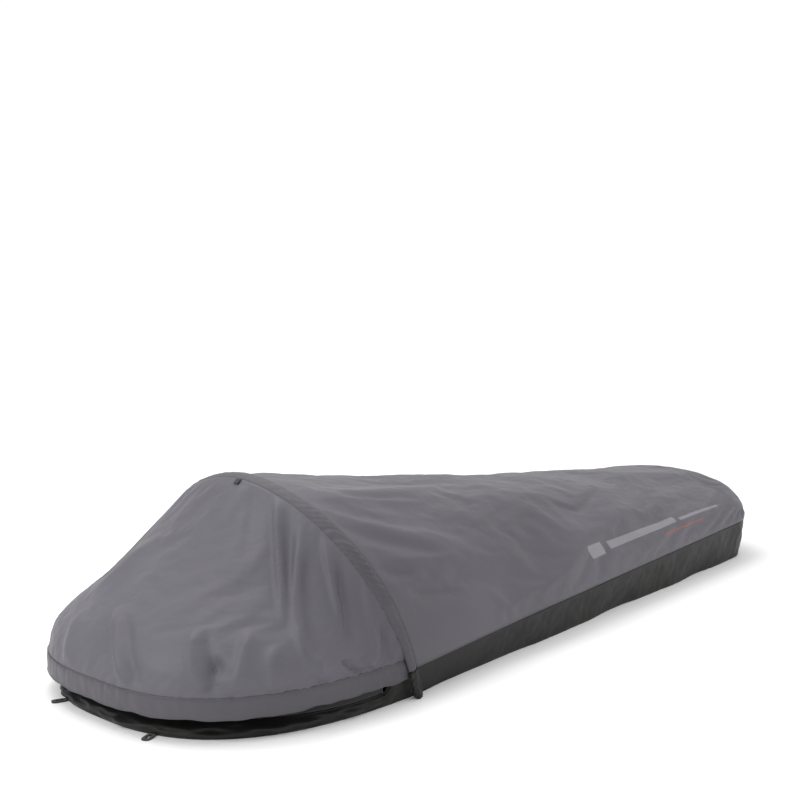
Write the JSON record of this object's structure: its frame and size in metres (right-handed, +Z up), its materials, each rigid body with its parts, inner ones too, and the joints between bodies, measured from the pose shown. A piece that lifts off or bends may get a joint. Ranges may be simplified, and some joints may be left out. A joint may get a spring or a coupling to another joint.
{
  "type": "hooped bivy sack",
  "caption": "Low one-person waterproof bivy sack: black tub floor, grey tapered canopy, arched pole hoop at the head and a zipped hood that folds back.",
  "frame": {"origin": "centre of the bounding box in plan, at the height of the ground under the floor panel", "axes": "+X along the sack from head to foot, +Y across it towards the left side of someone lying inside on their back, +Z up"},
  "size_m": [2.298, 0.818, 0.4587],
  "materials": {
    "canopy_fabric": "coated nylon, satin, fine ripstop weave, soft creases",
    "tub_fabric": "heavier coated nylon, dull sheen, creased",
    "webbing": "woven polyester webbing, matt",
    "zip_tape": "woven zip tape, matt",
    "zip_coil": "moulded nylon coil",
    "zip_metal": "black coated zinc, satin",
    "pole_tube": "anodised tube, satin",
    "ferrule": "plain drawn tube",
    "hard_plastic": "moulded nylon",
    "elastic_cord": "braided cover over elastic"
  },
  "bodies": {
    "tub": {"floor_panel": "tub_fabric", "head_wall": "tub_fabric", "side_wall_right": "tub_fabric", "side_wall_left": "tub_fabric", "foot_wall": "tub_fabric", "canopy": "canopy_fabric", "peg_loop_right": "webbing", "peg_loop_left": "webbing", "lower_zip_coil": "zip_coil", "lower_zip_tape": "zip_tape", "zip_stop_right": "zip_metal", "zip_stop_left": "zip_metal"},
    "hood": {"hood_panel": "canopy_fabric", "storm_flap": "canopy_fabric", "upper_zip_coil": "zip_coil", "upper_zip_tape": "zip_tape", "pole_sleeve": "canopy_fabric", "pole_section_1": "pole_tube", "pole_section_2": "pole_tube", "pole_section_3": "pole_tube", "pole_section_4": "pole_tube", "pole_ferrule_1": "ferrule", "pole_ferrule_2": "ferrule", "pole_ferrule_3": "ferrule", "shock_cord": "elastic_cord", "pole_tip_right": "hard_plastic", "pole_tip_left": "hard_plastic", "pole_pocket_right": "tub_fabric", "pole_pocket_left": "tub_fabric", "peak_tab": "webbing"},
    "zip_slider_right": {"slider_right": "zip_metal"},
    "zip_pull_right": {"pull_right": "hard_plastic"},
    "zip_slider_left": {"slider_left": "zip_metal"},
    "zip_pull_left": {"pull_left": "hard_plastic"}
  },
  "joints": [
    {"name": "hood_fold", "type": "hinge", "parent": "tub", "child": "hood", "pos_m": [-0.61511, 0, 0.01146], "axis": [0, 1, 0], "range_deg": [0, 45], "deforming": ["canopy"]},
    {"name": "slider_right_travel", "type": "hinge", "parent": "tub", "child": "zip_slider_right", "pos_m": [-0.73055, 0, 0.0525], "axis": [0, 0, 1], "range_deg": [0, 47]},
    {"name": "slider_left_travel", "type": "hinge", "parent": "tub", "child": "zip_slider_left", "pos_m": [-0.73055, 0, 0.0525], "axis": [0, 0, 1], "range_deg": [-135, 0]},
    {"name": "pull_right_swing", "type": "hinge", "parent": "zip_slider_right", "child": "zip_pull_right", "pos_m": [-1.00246, -0.27678, 0.0525], "axis": [-0.7133, 0.7008, 0], "range_deg": [0, 50]},
    {"name": "pull_left_swing", "type": "hinge", "parent": "zip_slider_left", "child": "zip_pull_left", "pos_m": [-1.01665, -0.26209, 0.0525], "axis": [-0.6755, 0.7374, 0], "range_deg": [0, 50]}
  ]
}
